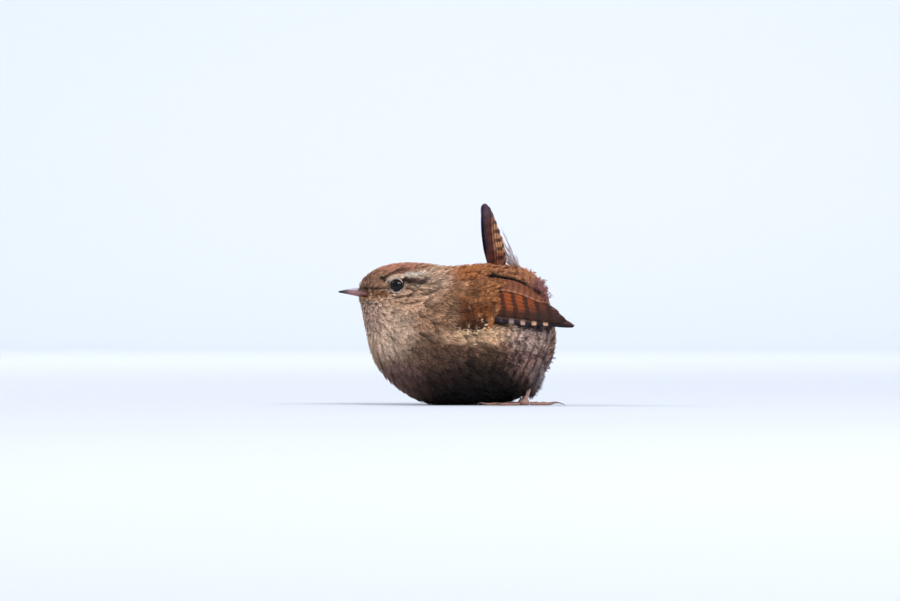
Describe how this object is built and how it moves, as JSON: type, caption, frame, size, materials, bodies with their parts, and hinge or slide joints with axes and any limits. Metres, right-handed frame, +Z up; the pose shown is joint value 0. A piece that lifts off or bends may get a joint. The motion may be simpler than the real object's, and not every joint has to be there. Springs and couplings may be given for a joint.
{
  "type": "wren",
  "caption": "Life-size still model of a small fluffed brown wren, squatting on the floor with its short tail cocked upright.",
  "frame": {"origin": "on the small flat under the belly where the bird rests, on the middle plane, at floor level", "axes": "+Z up, -X the way the bird faces, -Y its left side; the bird is the same on both sides of Y = 0"},
  "size_m": [0.0845, 0.0454, 0.0727],
  "materials": {
    "crown_feathers": "soft matt feathers, warm brown",
    "breast_feathers": "soft matt feathers, buff",
    "body_feathers": "soft matt feathers, brown with fine dark bars",
    "wing_feathers": "flat satin vanes, rufous barred with dark brown",
    "tail_feathers": "flat satin vanes, rufous brown barred with black",
    "bill_top": "horn, grey-brown with a dark tip",
    "bill_low": "horn, pinkish at the base",
    "eye": "wet gloss, black-brown",
    "leg_skin": "scaly skin, pinkish brown",
    "claw": "horn, brown"
  },
  "bodies": {
    "root": {"head": "crown_feathers", "neck": "breast_feathers", "torso": "body_feathers", "bill_upper": "bill_top", "bill_lower": "bill_low", "eye_left": "eye", "eye_right": "eye", "wing_left": "wing_feathers", "wing_right": "wing_feathers", "tail": "tail_feathers", "leg_left": "leg_skin", "leg_right": "leg_skin", "toe_inner_left": "leg_skin", "toe_middle_left": "leg_skin", "toe_outer_left": "leg_skin", "toe_hind_left": "leg_skin", "toe_inner_right": "leg_skin", "toe_middle_right": "leg_skin", "toe_outer_right": "leg_skin", "toe_hind_right": "leg_skin", "claw_inner_left": "claw", "claw_middle_left": "claw", "claw_outer_left": "claw", "claw_hind_left": "claw", "claw_inner_right": "claw", "claw_middle_right": "claw", "claw_outer_right": "claw", "claw_hind_right": "claw"}
  },
  "joints": []
}
